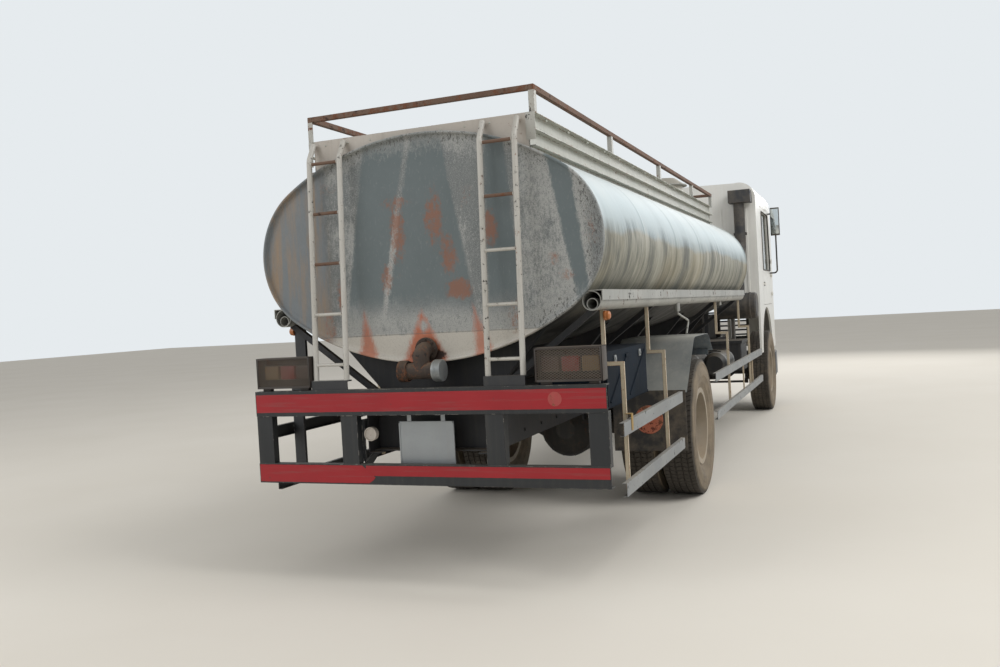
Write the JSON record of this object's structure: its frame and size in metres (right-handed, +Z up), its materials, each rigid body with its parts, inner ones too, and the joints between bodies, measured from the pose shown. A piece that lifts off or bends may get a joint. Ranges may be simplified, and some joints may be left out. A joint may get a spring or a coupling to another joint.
{
  "type": "two-axle water tanker lorry",
  "caption": "Cab-over tanker lorry with a long oval tank, twin rear ladders, railed top walkway, side guards, tilting cab, steered front wheels and twin rear wheels.",
  "frame": {"origin": "on the ground under the centre of the lorry's bounding box", "axes": "+Z up; the lorry faces -Y, so +Y runs to its rear; +X is its left side"},
  "size_m": [2.78, 10.85, 3.4],
  "materials": {
    "tank_paint": "faded white paint over steel, streaked, with rust at the seams",
    "coaming_paint": "chalky cream paint, chipped",
    "rail_rust": "rusted steel tube with paint remains",
    "ladder_paint": "white paint, chipped to rust at the rungs",
    "tray_paint": "weathered cream paint",
    "guard_paint": "weathered light grey paint",
    "frame_paint": "dark chassis paint under dust",
    "bumper_paint": "dark grey paint with red reflective bands",
    "galvanised": "dull zinc with spangle and rust stains",
    "mudguard_paint": "dark blue-grey sheet, splashed pale",
    "rubber": "dusty black rubber",
    "tyre": "worn black rubber under tan dust",
    "rim_paint": "silver paint under tan dust",
    "locker_paint": "dark navy paint, scuffed",
    "bare_plate": "blank plate, dusty",
    "lamp_red": "red and amber lenses",
    "lamp_clear": "clear lens over a reflector",
    "cab_paint": "white gloss paint, dusty below",
    "glass": "clear window glass",
    "black_plastic": "moulded black plastic, faded",
    "interior": "grained grey moulding",
    "seat_cloth": "woven grey seat cloth",
    "cast_iron": "cast iron with road dirt",
    "mirror": "black housing with mirror glass"
  },
  "bodies": {
    "root": {"frame_rails": "frame_paint", "frame_crossmembers": "frame_paint", "frame_brackets": "frame_paint", "tank_barrel": "tank_paint", "tank_cradle": "frame_paint", "side_trays": "tray_paint", "guard_hangers": "tray_paint", "side_guards": "guard_paint", "coaming_sides": "coaming_paint", "coaming_ends": "coaming_paint", "handrail_sides": "rail_rust", "handrail_ends": "rail_rust", "rear_bumper": "bumper_paint", "number_plate": "bare_plate", "lamp_cages": "galvanised", "tail_lamps": "lamp_red", "ladders": "ladder_paint", "discharge_pipe": "galvanised", "rear_mudguards": "mudguard_paint", "mud_flaps": "rubber", "tool_locker": "locker_paint", "fuel_tank": "galvanised", "battery_box": "black_plastic", "air_tanks": "frame_paint", "air_cleaner": "black_plastic", "snorkel": "black_plastic", "engine_block": "cast_iron", "propeller_shafts": "frame_paint", "rear_axle": "cast_iron", "leaf_springs": "frame_paint", "front_axle": "cast_iron", "front_bumper": "cab_paint", "headlamps": "lamp_clear", "exhaust": "galvanised"},
    "cab": {"cab_shell": "cab_paint", "windscreen": "glass", "grille": "black_plastic", "seats": "seat_cloth", "dashboard": "interior"},
    "left_door": {"door_left": "cab_paint", "door_glass_left": "glass", "mirror_left": "mirror"},
    "right_door": {"door_right": "cab_paint", "door_glass_right": "glass", "mirror_right": "mirror"},
    "left_knuckle": {"knuckle_left": "cast_iron"},
    "right_knuckle": {"knuckle_right": "cast_iron"},
    "track_rod": {"tie_rod": "frame_paint"},
    "front_left_wheel": {"tyre_front_left": "tyre", "wheel_front_left": "rim_paint"},
    "front_right_wheel": {"tyre_front_right": "tyre", "wheel_front_right": "rim_paint"},
    "rear_left_wheels": {"tyres_rear_left": "tyre", "wheels_rear_left": "rim_paint"},
    "rear_right_wheels": {"tyres_rear_right": "tyre", "wheels_rear_right": "rim_paint"},
    "locker_flap": {"locker_door": "locker_paint"},
    "manhole_cover": {"manhole_lid": "frame_paint"}
  },
  "joints": [
    {"name": "cab_tilt", "type": "hinge", "parent": "root", "child": "cab", "pos_m": [0, -5.23, 0.93], "axis": [1, 0, 0], "range_deg": [0, 50]},
    {"name": "left_door_hinge", "type": "hinge", "parent": "cab", "child": "left_door", "pos_m": [1.2143, -4.944, 2.2], "axis": [0, 0, -1], "range_deg": [0, 75]},
    {"name": "right_door_hinge", "type": "hinge", "parent": "cab", "child": "right_door", "pos_m": [-1.2143, -4.944, 2.2], "axis": [0, 0, 1], "range_deg": [0, 75]},
    {"name": "steer_left", "type": "hinge", "parent": "root", "child": "left_knuckle", "pos_m": [0.87, -4.075, 0.6], "axis": [0, 0, 1], "range_deg": [-35, 35]},
    {"name": "steer_right", "type": "hinge", "parent": "root", "child": "right_knuckle", "pos_m": [-0.87, -4.075, 0.6], "axis": [0, 0, 1], "range_deg": [-35, 35]},
    {"name": "track_rod_pivot", "type": "hinge", "parent": "left_knuckle", "child": "track_rod", "pos_m": [0.87, -3.875, 0.44], "axis": [0, 0, 1], "range_deg": [-35, 35]},
    {"name": "front_left_wheel_spin", "type": "hinge", "parent": "left_knuckle", "child": "front_left_wheel", "pos_m": [1.095, -4.075, 0.6], "axis": [1, 0, 0], "continuous": true},
    {"name": "front_right_wheel_spin", "type": "hinge", "parent": "right_knuckle", "child": "front_right_wheel", "pos_m": [-1.095, -4.075, 0.6], "axis": [1, 0, 0], "continuous": true},
    {"name": "rear_left_wheels_spin", "type": "hinge", "parent": "root", "child": "rear_left_wheels", "pos_m": [0.924, 2.275, 0.6], "axis": [1, 0, 0], "continuous": true},
    {"name": "rear_right_wheels_spin", "type": "hinge", "parent": "root", "child": "rear_right_wheels", "pos_m": [-0.924, 2.275, 0.6], "axis": [1, 0, 0], "continuous": true},
    {"name": "locker_flap_hinge", "type": "hinge", "parent": "root", "child": "locker_flap", "pos_m": [-1.0823, 4.365, 1.07], "axis": [0, -1, 0], "range_deg": [0, 90]},
    {"name": "manhole_cover_hinge", "type": "hinge", "parent": "root", "child": "manhole_cover", "pos_m": [-0.3, -1.486, 3.192], "axis": [1, 0, 0], "range_deg": [0, 115]}
  ],
  "couplings": [
    {"joint": "steer_right", "follows": "steer_left", "ratio": 1},
    {"joint": "track_rod_pivot", "follows": "steer_left", "ratio": -1}
  ]
}
